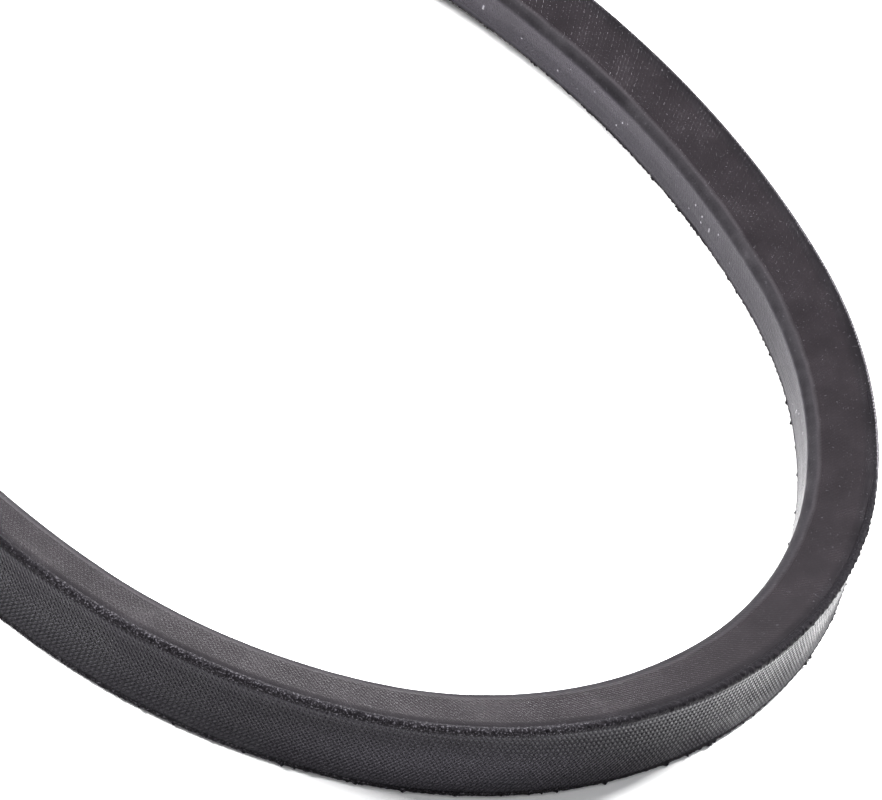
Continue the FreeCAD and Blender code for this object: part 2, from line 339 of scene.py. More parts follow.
@dataclass(frozen=True)
class Weave:
    """Bias-cut plain weave: two thread systems, at about 54 and 46 degrees to the belt's length, 0.5 mm apart.

    The counts round the loop are whole and even, so the cloth joins up. Leads and heights are shares of a thread's
    own roundness.
    """

    length: float
    right_count: int = 830
    left_count: int = 748
    right_climb: float = 1.17  # threads of the first system per millimetre round the section
    left_climb: float = -1.42  # the same for the second
    uneven: float = 0.22  # height difference of neighbouring threads
    ride: float = 0.9  # how far a thread rides over and under the others
    lead_reach: float = 3.0  # distance from the middle of the back over which the lead changes
    lead: tuple[float, float] = (-1.5, -0.1)  # lead of the first system there, on the lower and the upper side
    lead_cloud: float = 1.6  # how much the clouds add to the lead
    end_reach: tuple[float, float] = (28.0, 8.0)  # where the lead of the +X end starts and is full, from that end
    end_lead: float = 0.9
    height: float = 0.55
    end_height: float = 0.45  # how much higher the threads stand at the +X end, for each unit of its lead

    def first_count(self, s: Array, v: Array) -> Array:
        """Thread count of the first system at each point: whole numbers lie on a thread's middle."""
        return s * self.right_count / self.length + v * self.right_climb

    def relief(
        self, tree: bpy.types.NodeTree, place: bpy.types.NodeSocket, cloud: bpy.types.NodeSocket
    ) -> bpy.types.NodeSocket:
        """Add nodes for the cloth's height.

        Each thread is a cosine across its width that rides up and down by a cosine along it, over at one crossing
        and under at the next. The higher of the two systems is the surface. The mould pulled the first system
        proud near the belt's upper edge and the second near its lower edge, with a cloudy line between.

        Args:
            tree: the material's node tree.
            place: the cloth's UV coordinates in millimetres.
            cloud: slow unevenness, about 0.5.

        Returns:
            Height from about -1 to 1, and nearly twice that round the +X end.
        """
        counts = []
        for total, climb in ((self.right_count, self.right_climb), (self.left_count, self.left_climb)):
            rate = (total / self.length, climb, 0.0)
            counts.append(put(tree, "VectorMath", {0: place, 1: rate}, operation="DOT_PRODUCT")["Value"])
        heights = []
        for across, along, offset in ((counts[0], counts[1], 0.0), (counts[1], counts[0], 1.0)):
            turn = calc(tree, "MULTIPLY", across, 2 * np.pi)
            profile = calc(tree, "COSINE", turn)
            number = calc(tree, "ROUND", across)
            ride = calc(tree, "ADD", along, number)
            ride = calc(tree, "MULTIPLY_ADD", ride, np.pi, offset * np.pi)
            ride = calc(tree, "COSINE", ride)
            high = calc(tree, "MULTIPLY_ADD", ride, self.ride, profile)
            if offset == 0.0:
                # Every second thread of the first system was drawn tighter and lies a little lower.
                turn = calc(tree, "MULTIPLY", number, np.pi)
                turn = calc(tree, "COSINE", turn)
                high = calc(tree, "MULTIPLY_ADD", turn, self.uneven, high)
            heights.append(high)
        along, around, _ = put(tree, "SeparateXYZ", {0: place})
        low, high = self.lead
        lead = remap(tree, around, -self.lead_reach, self.lead_reach, low, high)
        # Round the +X end, where the length starts and ends, the first system leads all the way across.
        half = self.length / 2
        far = calc(tree, "SUBTRACT", along, half)
        far = calc(tree, "ABSOLUTE", far)
        low, high = self.end_reach
        end = remap(tree, far, half - low, half - high, 0.0, self.end_lead)
        lead = calc(tree, "ADD", lead, end)
        lead = calc(tree, "MULTIPLY_ADD", cloud, self.lead_cloud, lead)
        first = calc(tree, "ADD", heights[0], lead)
        second = calc(tree, "SUBTRACT", heights[1], lead)
        top = calc(tree, "MAXIMUM", first, second)
        lead = calc(tree, "ABSOLUTE", lead)
        top = calc(tree, "SUBTRACT", top, lead)
        steep = calc(tree, "MULTIPLY_ADD", end, self.end_height, self.height)
        return calc(tree, "MULTIPLY", top, steep)


@dataclass(frozen=True)
class CoverCloth:
    """Rubberised polyester-cotton cloth, bias woven and cured in a mould.

    Matt charcoal with a fine diagonal thread that glints where the crowns are polished; smooth in a band beside the
    outer corners, where the mould ironed it, and painted darker there as painted shade; a little paler on the base,
    with crumbs of release powder.
    """

    weave: Weave
    section: Section
    name: str
    ior: float
    back: str = "#141215"
    # painted shadow in the groove under the upper line of flash; also the base corner's colour
    edge: str = "#09080a"
    # painted shade: the ironed band is painted darker than the flank
    band: str = "#0c0a0c"
    flank: str = "#151214"
    base: str = "#1b191e"
    dust: str = "#5c5b60"
    cloud_scale: float = 0.16  # clouds per millimetre
    speck_scale: float = 2.3  # specks of dust per millimetre
    crumb: str = "#737176"
    glint: str = "#fbf2ff"  # the mould release film's faint violet, in the reflection seen straight on
    # painted highlight: the grey of lit thread crowns over one patch of the back
    painted_highlight: str = "#3b393e"
    painted_highlight_middle: tuple[float, float] = (476.0, -1.5)  # where along and round the painted highlight on the thread crowns is strongest
    painted_highlight_reach: tuple[float, float] = (8.0, 26.0)  # distances along from there at which it fades and is gone
    painted_highlight_stretch: float = 4.0  # how many times longer along than round the patch is
    painted_highlight_share: float = 0.9
    crumb_scale: float = 0.9  # cells per millimetre, of which few hold a crumb
    crumb_reach: tuple[float, float] = (0.06, 0.19)  # distances from its middle at which a crumb fades and is gone
    crumb_limit: float = 1.33  # cloud and chance that a cell needs together to hold a crumb, out of 2
    thread_rise: float = 0.2
    grain_scale: float = 5.0  # grains of the rubber's skin per millimetre
    grain_rise: float = 0.12  # as a share of thread_rise
    haze: float = 0.0  # how much rougher the cloth is towards the lower edge of the back
    # How strongly the threads show, by distance round the section: crisp on the back, faint elsewhere.
    thread_shares: tuple[tuple[float, float], ...] = (
        (0.0, 1.0),
        (3.2, 1.0),
        (4.3, 0.6),
        (5.7, 0.15),
        (6.9, 0.02),
        (8.0, 0.05),
        (13.5, 0.05),
        (15.5, 0.04),
    )
    # Roughness between the threads, by distance round the section.
    plain_roughness: tuple[tuple[float, float], ...] = (
        (0.0, 0.24),
        (5.6, 0.24),
        (6.0, 0.45),
        (6.6, 0.22),
        (13.4, 0.22),
        (14.2, 0.8),
        (15.5, 0.8),
        (16.2, 0.16),
    )

    def material(self) -> bpy.types.Material:
        """Build the material, which reads the piece's own UV map in millimetres."""
        made, tree = start_material(self.name, IOR=self.ior, Specular_Tint=linear(self.glint))
        place = put(tree, "UVMap", uv_map=CLOTH_MAP)[0]
        solid = put(tree, "TexCoord")["Object"]
        clouds = {"Vector": solid, "Scale": self.cloud_scale / MM, "Detail": 3.0, "Roughness": 0.6}
        cloud = put(tree, "TexNoise", clouds)[0]
        height = self.weave.relief(tree, place, cloud)
        parts = put(tree, "SeparateXYZ", {0: place})
        around = calc(tree, "ABSOLUTE", parts[1])
        cut = self.section.middle
        around = calc(tree, "DIVIDE", around, cut)

        # Colour by place round the section: each colour holds between two distances and blends into the next. The
        # edge colour is painted shadow in the groove under the upper line of flash and is used again along the
        # base's corner; the band is painted darker as painted shade.
        shades = (
            (self.back, 0.0, 4.7),
            (self.edge, 5.1, 6.6),
            (self.band, 7.0, 7.5),
            (self.flank, 8.3, 13.6),
            (self.edge, 14.3, 15.3),
            (self.base, 16.0, cut),
        )
        zones = [(v / cut, linear(shade)) for shade, *ends in shades for v in ends]
        colour = put(tree, "ValToRGB", {0: around}, zones)[0]

        # Thread crowns are paler than the gaps between them, clouds vary the whole, and dust lies in specks.
        stops = [(v / cut, (share, share, share, 1.0)) for v, share in self.thread_shares]
        shows = put(tree, "ValToRGB", {0: around}, stops)[0]
        speckle = {"Vector": solid, "Scale": self.speck_scale / MM, "Detail": 2.0, "Roughness": 0.7}
        specks = put(tree, "TexNoise", speckle)[0]
        thin = remap(tree, specks, 0.66, 0.74, 0.0, 0.2)
        tint = remap(tree, cloud, 0.3, 0.7, 0.8, 1.22)
        crown = remap(tree, height, -0.2, 1.0, 0.55, 1.6)
        crown = put(tree, "Mix", {"Factor": shows, "A": 1.0, "B": crown}, data_type="FLOAT")[0]
        scale = calc(tree, "MULTIPLY", crown, tint)
        colour = put(tree, "VectorMath", {0: colour, "Scale": scale}, operation="SCALE")[0]
        colour = put(tree, "Mix", {"Factor": thin, "A": colour, "B": linear(self.dust)}, data_type="RGBA")[2]

        # Painted highlight: the thread crowns are painted grey over a patch about 40 mm long and 9 mm wide, where
        # light catches them.
        middle = (self.painted_highlight_middle[0], self.painted_highlight_middle[1] * self.painted_highlight_stretch, 0.0)
        away = put(tree, "VectorMath", {0: place, 1: (1.0, self.painted_highlight_stretch, 1.0)}, operation="MULTIPLY")[0]
        away = put(tree, "VectorMath", {0: away, 1: middle}, operation="DISTANCE")["Value"]
        low, high = self.painted_highlight_reach
        highlight_mask = remap(tree, away, low, high, self.painted_highlight_share, 0.0)
        crowns = remap(tree, height, -0.4, 0.9, 0.2, 1.0)
        highlight_mask = calc(tree, "MULTIPLY", highlight_mask, crowns)
        highlight_mask = calc(tree, "MULTIPLY", highlight_mask, shows)
        colour = put(tree, "Mix", {"Factor": highlight_mask, "A": colour, "B": linear(self.painted_highlight)}, data_type="RGBA")[2]

        # A few pale crumbs of release powder stick to the base in loose groups, each a few tenths across.
        cell = put(tree, "TexVoronoi", {"Vector": place, "Scale": self.crumb_scale}, voronoi_dimensions="2D")
        chosen = put(tree, "SeparateXYZ", {0: cell["Color"]})
        low, high = self.crumb_reach
        small = remap(tree, cell["Distance"], low, high, 1.0, 0.0)
        crowd = calc(tree, "ADD", cloud, chosen[0])
        picked = calc(tree, "GREATER_THAN", crowd, self.crumb_limit)
        on_base = remap(tree, around, 17.0 / cut, 17.3 / cut)
        powder = calc(tree, "MULTIPLY", small, picked)
        powder = calc(tree, "MULTIPLY", powder, on_base)
        colour = put(tree, "Mix", {"Factor": powder, "A": colour, "B": linear(self.crumb)}, data_type="RGBA")[2]

        # Crowns are polished and gaps matt where threads show; elsewhere the mould's finish gives the roughness.
        rough = remap(tree, height, -0.3, 0.8, 0.5, 0.1)
        plain = put(tree, "ValToRGB", {0: around}, [(v / cut, (r, r, r, 1.0)) for v, r in self.plain_roughness])[0]
        rough = put(tree, "Mix", {"Factor": shows, "A": plain, "B": rough}, data_type="FLOAT")[0]
        hazy = remap(tree, parts[1], -4.5, 2.0, self.haze, 0.0)
        rough = calc(tree, "ADD", rough, hazy)
        patch = remap(tree, cloud, 0.3, 0.7, 0.82, 1.3)
        rough = calc(tree, "MULTIPLY", rough, patch)

        grain = put(tree, "TexNoise", {"Vector": place, "Scale": self.grain_scale, "Detail": 2.0})[0]
        relief = calc(tree, "MULTIPLY", height, shows)
        relief = calc(tree, "MULTIPLY_ADD", grain, self.grain_rise, relief)
        dress_shader(tree, colour, rough, relief, self.thread_rise)
        return made


@dataclass(frozen=True)
class FlashRubber:
    """Rubber and cut thread ends squeezed out at the mould's parting line.

    A crumbly, beaded black line with small grey specks where the skin is torn, most along one stretch, where they
    are painted sparkle for the light that falls there.
    """

    name: str = "torn_moulding_flash_rubber"
    body: str = "#0a090b"
    # torn skin, partly painted pale as painted sparkle where light falls on the flash
    torn: str = "#514f54"
    glint: str = "#f8edff"
    torn_glint_middle: float = 458.0  # where along the back the flash is most torn and most painted with sparkle
    torn_glint_reach: float = 46.0  # how far from there it still is
    torn_glint_fade: float = 12.0  # distance over which the torn stretch fades out
    torn_glint_less: float = 0.09  # how much higher a crumb has to be outside it to show torn skin
    crumb_scale: float = 3.6  # crumbs per millimetre
    crumb_rise: float = 0.16
    ior: float = 1.25
    specular: float = 0.25  # low, as crumbly skin has few faces that reflect

    def material(self) -> bpy.types.Material:
        """Build the material, which reads the piece's own UV map in millimetres."""
        shine = {"IOR": self.ior, "Specular_IOR_Level": self.specular, "Specular_Tint": linear(self.glint)}
        made, tree = start_material(self.name, **shine)
        place = put(tree, "UVMap", uv_map=CLOTH_MAP)[0]
        rubble = {"Vector": place, "Scale": self.crumb_scale, "Detail": 3.0, "Roughness": 0.7}
        crumbs = put(tree, "TexNoise", rubble)[0]
        along = put(tree, "SeparateXYZ", {0: place})[0]
        away = calc(tree, "SUBTRACT", along, self.torn_glint_middle)
        away = calc(tree, "ABSOLUTE", away)
        # Torn skin, painted pale as painted sparkle, needs a high crumb on the clean stretch, and a middling one on
        # the torn stretch.
        low, high = self.torn_glint_reach - self.torn_glint_fade, self.torn_glint_reach
        needed = remap(tree, away, low, high, 0.0, self.torn_glint_less)
        crumbs = calc(tree, "SUBTRACT", crumbs, needed)
        share = remap(tree, crumbs, 0.55, 0.63, 0.0, 1.0)
        mixed = {"Factor": share, "A": linear(self.body), "B": linear(self.torn)}
        colour = put(tree, "Mix", mixed, data_type="RGBA")[2]
        rough = remap(tree, crumbs, 0.54, 0.64, 0.65, 0.4)
        dress_shader(tree, colour, rough, crumbs, self.crumb_rise)
        return made


def grid_faces(columns: int, rows: int, first: int = 0) -> Array:
    """Quads of a grid that closes on itself both ways, vertices numbered row by row within a column.

    Args:
        columns: points along the loop.
        rows: points round the section.
        first: number of the grid's first vertex.

    Returns:
        One row of four vertex numbers for each face.
    """
    i, j = np.meshgrid(np.arange(columns), np.arange(rows), indexing="ij")
    i1, j1 = (i + 1) % columns, (j + 1) % rows
    quads = np.stack([i * rows + j, i1 * rows + j, i1 * rows + j1, i * rows + j1], axis=-1)
    return quads.reshape(-1, 4) + first


def make_piece(
    name: str, points: Array, faces: Array, cloth: Array, finishes: list[bpy.types.Material], finish: Array
) -> bpy.types.Object:
    """Make a mesh object from whole arrays.

    Args:
        name: the object's name.
        points: vertices in millimetres.
        faces: quads.
        cloth: for each face corner, its place on the cloth in millimetres.
        finishes: the piece's materials.
        finish: for each face, the number of its material.

    Returns:
        The object, linked to the scene at the origin.
    """
    mesh = bpy.data.meshes.new(name)
    mesh.vertices.add(len(points))
    mesh.vertices.foreach_set("co", (points * MM).astype(np.float32).ravel())
    mesh.loops.add(faces.size)
    mesh.loops.foreach_set("vertex_index", faces.astype(np.int32).ravel())
    mesh.polygons.add(len(faces))
    mesh.polygons.foreach_set("loop_start", np.arange(0, faces.size, 4, dtype=np.int32))
    mesh.polygons.foreach_set("loop_total", np.full(len(faces), 4, dtype=np.int32))
    mesh.update(calc_edges=True)
    mesh.polygons.foreach_set("use_smooth", np.ones(len(faces), dtype=bool))
    layer = mesh.uv_layers.new(name=CLOTH_MAP)
    layer.uv.foreach_set("vector", cloth.astype(np.float32).ravel())
    for material in finishes:
        mesh.materials.append(material)
    mesh.polygons.foreach_set("material_index", finish.astype(np.int32))
    mesh.validate()
    return into_scene(name, mesh)


def corner_map(s: Array, v: Array, length: float) -> Array:
    """Map every face corner of a closed grid to the cloth, the last column's far side to the full length.

    Args:
        s: distance along of each column.
        v: distance round of each row.
        length: the loop's length.

    Returns:
        UV pairs in the order of grid_faces.
    """
    s1 = np.append(s[1:], length)
    v1 = np.append(v[1:], v[-1])
    left, low = np.meshgrid(s, v, indexing="ij")
    right, high = np.meshgrid(s1, v1, indexing="ij")
    quad = np.stack([left, low, right, low, right, high, left, high], axis=-1)
    return quad.reshape(-1, 2)


@dataclass
class CoverPly:
    """The outer cover ply: a woven tube of trapezium section, one wall thick, that the rest of the belt fills."""

    line: LoopLine
    section: Section
    back_cloth: bpy.types.Material
    flank_cloth: bpy.types.Material
    wall: float = 0.45
    columns: int = 1024
    lining_columns: int = 512
    lining_step: int = 3  # rows of the outside for each row of the lining
    groove_depth: float = 0.24
    groove_place: float = 5.62
    groove_widths: tuple[float, float] = (0.42, 0.2)  # of its slope on the back's side and on the flank's
    lower_groove: float = 0.5  # depth of the lower groove, as a share of the upper one's
    band_start: float = 6.9
    band_end: float = 8.0
    band_bend: float = 0.1  # softness of the bend where the band meets the flank
    band_return: tuple[float, float] = (1.2, 0.45)  # where the band's roll starts and is full, before band_start
    band_tilt: float = 8.5  # how far the ironed band rolls over towards the back, in degrees
    back_sag: float = 0.2
    swell: tuple[float, float, int] = (12.0, 0.06, 11)  # size, height and seed of the surface's slow unevenness
    ripple: tuple[float, float, int] = (2.5, 0.012, 12)  # the same for its quick unevenness
    corner: float = 6.1  # middle of the back's corner, where the surface is even
    lap_rise: float = 0.04

    def rows(self) -> Array:
        """Distances round the section of the grid's rows, close together where the surface bends.

        Returns:
            Rows from just past the middle of the base on the -z side to the middle on the +z side.
        """
        cut = self.section
        half = np.concatenate(
            [
                np.linspace(0.0, 4.8, 6),
                np.linspace(4.95, cut.back_end, 6),
                np.linspace(cut.back_end, cut.flank_start, 7)[1:],
                np.linspace(cut.flank_start, 8.6, 8)[1:],
                np.linspace(8.6, cut.flank_end, 6)[1:],
                np.linspace(cut.flank_end, cut.base_start, 8)[1:],
                np.linspace(cut.base_start, cut.middle, 5)[1:],
            ]
        )
        return np.concatenate([-half[:0:-1], half])[1:]

    def rise(self, s: Array, v: Array) -> Array:
        """Height of the cured surface over the plain section.

        The back sags to its middle as a parabola, a narrow groove runs under each line of flash, the ironed band
        beside it rolls over towards the back by a few degrees, and the whole surface is a few hundredths uneven.
        The outer ply's lapped edge shows as a faint step on the base.

        Args:
            s: distance along the back.
            v: distance round the section.

        Returns:
            Height at each point.
        """
        around, length = np.abs(v), self.line.back_length
        width = np.where(around < self.groove_place, *self.groove_widths)
        groove = -self.groove_depth * np.exp(-(((around - self.groove_place) / width) ** 2))
        groove *= np.where(v > 0, 1.0, self.lower_groove)
        inside_band = np.clip(self.band_end - around, 0.0, self.band_end - self.band_start)
        rolled = np.sqrt(inside_band**2 + self.band_bend**2) - self.band_bend
        low, high = self.band_return
        rolled *= smooth(around, self.band_start - low, self.band_start - high)
        band = -np.tan(np.radians(self.band_tilt)) * rolled
        sag = -self.back_sag * np.maximum(1.0 - (around / self.section.back_end) ** 2, 0.0)
        uneven = sum(tall * mottle(s, v, length, cell, seed) for cell, tall, seed in (self.swell, self.ripple))
        uneven *= smooth(np.abs(around - self.corner), 0.3, 1.2)
        lap = self.lap_rise * smooth(around, self.section.middle - 0.5, self.section.middle - 0.2)
        return groove + band + sag + uneven + lap * (v > 0)

    def build(self) -> bpy.types.Object:
        """Make the tube: the woven outside, and the lining one wall thickness inside it with its faces turned in.

        Returns:
            The cover piece.
        """
        length = self.line.back_length
        s, v = np.arange(self.columns) * length / self.columns, self.rows()
        ss, vv = np.meshgrid(s, v, indexing="ij")
        u, z, nu, nz = self.section.at(vv)
        h = self.rise(ss, vv)
        outside = self.line.place(ss, u + nu * h, z + nz * h)

        t = np.arange(self.lining_columns) * length / self.lining_columns
        w = v[:: self.lining_step]
        tt, ww = np.meshgrid(t, w, indexing="ij")
        u, z, nu, nz = self.section.at(ww)
        inside = self.line.place(tt, u - nu * self.wall, z - nz * self.wall)

        points = np.concatenate([outside.reshape(-1, 3), inside.reshape(-1, 3)])
        outer = grid_faces(len(s), len(v))
        inner = grid_faces(len(t), len(w), first=outside.size // 3)[:, ::-1]
        cloth = np.concatenate([corner_map(s, v, length), corner_map(t, w, length)[::-1]])
        faces = np.concatenate([outer, inner[::-1]])
        around = np.abs(cloth.reshape(-1, 4, 2)[:, :, 1]).mean(axis=1)
        on_flank = around > (self.section.back_end + self.section.flank_start) / 2
        return make_piece("cover_cloth", points, faces, cloth, [self.back_cloth, self.flank_cloth], on_flank)


@dataclass
class MouldingFlash:
    """A line of moulding flash along a corner: a low, torn, beaded ridge.

    Places round the section are distances from the middle of the back, on the flash's own side.
    """

    name: str
    line: LoopLine
    section: Section
    weave: Weave
    rubber: bpy.types.Material
    side: Side
    seed: int
    start: float = 5.2
    end: float = 6.8
    height: float = 0.16
    teeth: float = 0.5  # how far the teeth reach over the back
    tooth_root: float = 0.62  # where the gaps between the teeth end, from the start
    wander: float = 0.12  # how far the ridge's sides stray
    ridge_share: float = 0.5  # height of the smooth ridge, as a share of the whole
    tooth_share: float = 0.15  # the same for the teeth
    grain_share: float = 0.8  # and for the grains on both
    sunk: float = 0.05  # how far its sides lie under the cover's surface
    root: float = 0.33  # how far its underside lies inside the cover's wall
    lumps: int = 110
    lump_sizes: tuple[float, float] = (0.05, 0.2)
    lump_places: tuple[float, float] = (5.6, 6.4)
    lump_spreads: tuple[float, float] = (0.14, 0.34)
    trimmed: tuple[float, float] = (30.0, 380.0)  # stretch along the back where the flash was trimmed off
    trimmed_run: float = 25.0  # length over which the trimming starts and stops
    trimmed_to: float = 1.0  # share of the height that is left there
    trimmed_sunk: float = 0.15  # how much further it is sunk where all of it is trimmed off
    columns: int = 4400
    rows: int = 17

    def rise(self, s: Array, v: Array) -> Array:
        """Height of the ridge over the cover.

        A rounded ridge with its crest on the corner, cut into teeth where every second thread passes, roughened
        by grains of two sizes, with scattered lumps, each a bell of its own size. Where it was trimmed, all of it
        is a share as high and its edges lie under the cover.

        Args:
            s: distance along the back.
            v: distance round the section, from the back.

        Returns:
            Height at each point, negative at the ridge's two edges.
        """
        length, seed = self.line.back_length, self.seed
        first = self.weave.first_count(s, v * self.side.value)
        tooth = (0.5 + 0.5 * np.cos(np.pi * first)) ** 1.5
        wander = self.wander * (mottle(s, 0 * v, length, 2.0, seed) + mottle(s, 0 * v, length, 0.6, seed + 3))
        low = self.start + self.tooth_root + wander - self.teeth * tooth
        ridge = smooth(v, low - 0.12, low + 0.15) * (1.0 - smooth(v, self.end - 0.6 + wander, self.end - 0.15))
        grain = 0.5 * mottle(s, v, length, 0.5, seed + 7) + 0.6 * mottle(s, v, length, 0.25, seed + 9)
        body = ridge * (self.ridge_share + self.tooth_share * tooth + self.grain_share * grain)
        draw = np.random.default_rng(seed + 20)
        bells = np.zeros_like(s)
        for place, round_at, size, spread in zip(
            draw.uniform(0, length, self.lumps),
            draw.uniform(*self.lump_places, self.lumps),
            draw.uniform(*self.lump_sizes, self.lumps),
            draw.uniform(*self.lump_spreads, self.lumps),
        ):
            away = np.abs(s[:, 0] - place)
            near = np.flatnonzero(np.minimum(away, length - away) < 3 * spread)
            gap = np.minimum(away, length - away)[near, None]
            bells[near] += size * np.exp(-(gap**2 + (v[near] - round_at) ** 2) / spread**2)
        inside = smooth(v, self.start, self.start + 0.3) * (1.0 - smooth(v, self.end - 0.5, self.end))
        cut_from, cut_to = self.trimmed
        run = self.trimmed_run
        cut = smooth(s, cut_from, cut_from + run) * (1.0 - smooth(s, cut_to - run, cut_to))
        left = 1.0 - (1.0 - self.trimmed_to) * cut
        return (self.height * body + bells * inside) * left - self.sunk - self.trimmed_sunk * (1.0 - left)

    def build(self) -> bpy.types.Object:
        """Make the ridge as a closed tube whose underside lies inside the cover's wall.

        Returns:
            The flash piece.
        """
        length, sign = self.line.back_length, self.side.value
        s = np.arange(self.columns) * length / self.columns
        top = np.linspace(self.start, self.end, self.rows)
        under = np.linspace(self.end, self.start, 4)[1:-1]
        v = np.concatenate([top, under])
        ss, vv = np.meshgrid(s, v, indexing="ij")
        h = self.rise(ss, vv)
        h[:, self.rows :] = -self.root
        u, z, nu, nz = self.section.at(vv)
        points = self.line.place(ss, u + nu * h, sign * (z + nz * h)).reshape(-1, 3)
        faces = grid_faces(len(s), len(v))
        cloth = corner_map(s, v * sign, length)
        if self.side is Side.LOWER:
            faces = faces[:, ::-1]
            cloth = cloth.reshape(-1, 4, 2)[:, ::-1].reshape(-1, 2)
        return make_piece(self.name, points, faces, cloth, [self.rubber], np.zeros(len(faces)))


@dataclass(frozen=True)
class RubberCompound:
    """Moulded rubber compound, black with carbon.

    Dead matt black with a faint cloudiness where the filler isn't even.
    """

    name: str
    light: str
    dark: str
    grain: float  # size of the filler's clouds
    rise: float = 0.03
    ior: float = 1.52

    def material(self) -> bpy.types.Material:
        """Build the material, which reads Object coordinates."""
        made, tree = start_material(self.name, IOR=self.ior)
        place = put(tree, "TexCoord")["Object"]
        cloud = put(tree, "TexNoise", {"Vector": place, "Scale": 1.0 / (self.grain * MM), "Detail": 4.0})[0]
        colour = put(tree, "ValToRGB", {0: cloud}, [(0.3, linear(self.dark)), (0.7, linear(self.light))])[0]
        rough = remap(tree, cloud, 0.3, 0.7, 0.7, 0.9)
        dress_shader(tree, colour, rough, cloud, self.rise, 0.4)
        return made


@dataclass(frozen=True)
class TwistedPolyester:
    """Dipped and heat-set polyester cord, twisted from strands.

    Cream threads dipped brown, with a slanting twist about 1.3 mm long.
    """

    name: str = "dipped_twisted_polyester_cord"
    dip: str = "#8a5f3c"
    thread: str = "#cdb28a"
    twist: float = 1.3
    diameter: float = 0.85
    fibre_scale: float = 6.0  # fibres per millimetre
    strand_rise: float = 0.08
    reach: float = 75.0  # mean distance of the cord from the loop's middle, which turns angle into length

    def material(self) -> bpy.types.Material:
        """Build the material, which reads Object coordinates: the angle round the loop gives the place along."""
        made, tree = start_material(self.name)
        place = put(tree, "TexCoord")["Object"]
        x, y, z = put(tree, "SeparateXYZ", {0: place})
        angle = calc(tree, "ARCTAN2", y, x)
        along = calc(tree, "MULTIPLY", angle, 2 * np.pi * self.reach / self.twist)
        slant = calc(tree, "MULTIPLY_ADD", z, 2 * np.pi / (self.diameter * MM), along)
        strand = calc(tree, "SINE", slant)
        fibre = put(tree, "TexNoise", {"Vector": place, "Scale": self.fibre_scale / MM, "Detail": 3.0})[0]
        mixed = calc(tree, "MULTIPLY_ADD", strand, 0.3, fibre)
        colour = put(tree, "ValToRGB", {0: mixed}, [(0.25, linear(self.dip)), (0.75, linear(self.thread))])[0]
        rough = remap(tree, mixed, 0.2, 0.8, 0.75, 0.5)
        dress_shader(tree, colour, rough, mixed, self.strand_rise, 0.8)
        return made


@dataclass(frozen=True)
class FrictionedCloth:
    """Frictioned cotton cloth under the outer ply: a plain weave filled with black rubber.

    Matt black-brown with the thread grid just showing through the rubber.
    """

    name: str = "frictioned_cotton_cloth"
    rubber: str = "#1c1a1b"
    thread: str = "#46403c"
    pitch: float = 0.49
    reach: float = 76.0  # mean distance of the cloth from the loop's middle, which turns angle into length
    thread_rise: float = 0.04

    def material(self) -> bpy.types.Material:
        """Build the material, which reads Object coordinates."""
        made, tree = start_material(self.name)
        place = put(tree, "TexCoord")["Object"]
        x, y, z = put(tree, "SeparateXYZ", {0: place})
        angle = calc(tree, "ARCTAN2", y, x)
        step = 2 * np.pi / (self.pitch * MM * np.sqrt(2))
        along = calc(tree, "MULTIPLY", angle, self.reach * MM * step)
        waves = []
        for lean in (1.0, -1.0):
            turn = calc(tree, "MULTIPLY_ADD", z, lean * step, along)
            waves.append(calc(tree, "SINE", turn))
        high = calc(tree, "MAXIMUM", waves[0], waves[1])
        colour = put(tree, "ValToRGB", {0: high}, [(0.2, linear(self.rubber)), (0.95, linear(self.thread))])[0]
        rough = remap(tree, high, -0.5, 1.0, 0.85, 0.65)
        dress_shader(tree, colour, rough, high, self.thread_rise, 0.7)
        return made


@dataclass
class InnerPieces:
    """The six bonded pieces inside the outer ply, kept as packed and dressed."""

    finishes: tuple[tuple[str, RubberCompound | TwistedPolyester | FrictionedCloth], ...] = (
        ("inner_cover_ply", FrictionedCloth()),
        ("top_rubber", RubberCompound("moulded_tension_rubber", "#232224", "#171618", 1.5)),
        ("upper_adhesion_rubber", RubberCompound("calendered_upper_adhesion_gum", "#2e2a28", "#201d1c", 0.8)),
        ("tensile_cord", TwistedPolyester()),
        ("lower_adhesion_rubber", RubberCompound("calendered_lower_adhesion_gum", "#2b2826", "#1e1b1a", 0.8)),
        ("base_rubber", RubberCompound("moulded_fibre_loaded_base_rubber", "#29282a", "#161517", 2.0)),
    )

    def dress(self) -> list[str]:
        """Give each piece the finish of what it is made of.

        Returns:
            Names of the pieces that were dressed.
        """
        for name, finish in self.finishes:
            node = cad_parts[name]
            node.data.materials.clear()
            node.data.materials.append(finish.material())
        return [name for name, _ in self.finishes]


@dataclass(frozen=True)
class Softbox:
    """A square soft light that looks at the middle of the floor."""

    name: str
    watts: float
    elevation: float
    swing: float  # from the camera's right towards the far side, in degrees
    side: float = 0.4  # in metres, as is the next
    away: float = 1.3

    def hang(self, right: Vector, far: Vector) -> None:
        """Hang the light in its place.

        Args:
            right: direction to the camera's right, level.
            far: direction away from the camera, level.
        """
        data = bpy.data.lights.new(self.name, "AREA")
        data.shape = "SQUARE"
        data.size = self.side
        data.energy = self.watts
        lamp = into_scene(self.name, data)
        rise, swing = np.radians([self.elevation, self.swing])
        spot = (right * np.cos(swing) + far * np.sin(swing)) * np.cos(rise) + Vector((0.0, 0.0, np.sin(rise)))
        lamp.location = spot * self.away
        lamp.rotation_euler = (-spot).to_track_quat("-Z", "Y").to_euler()


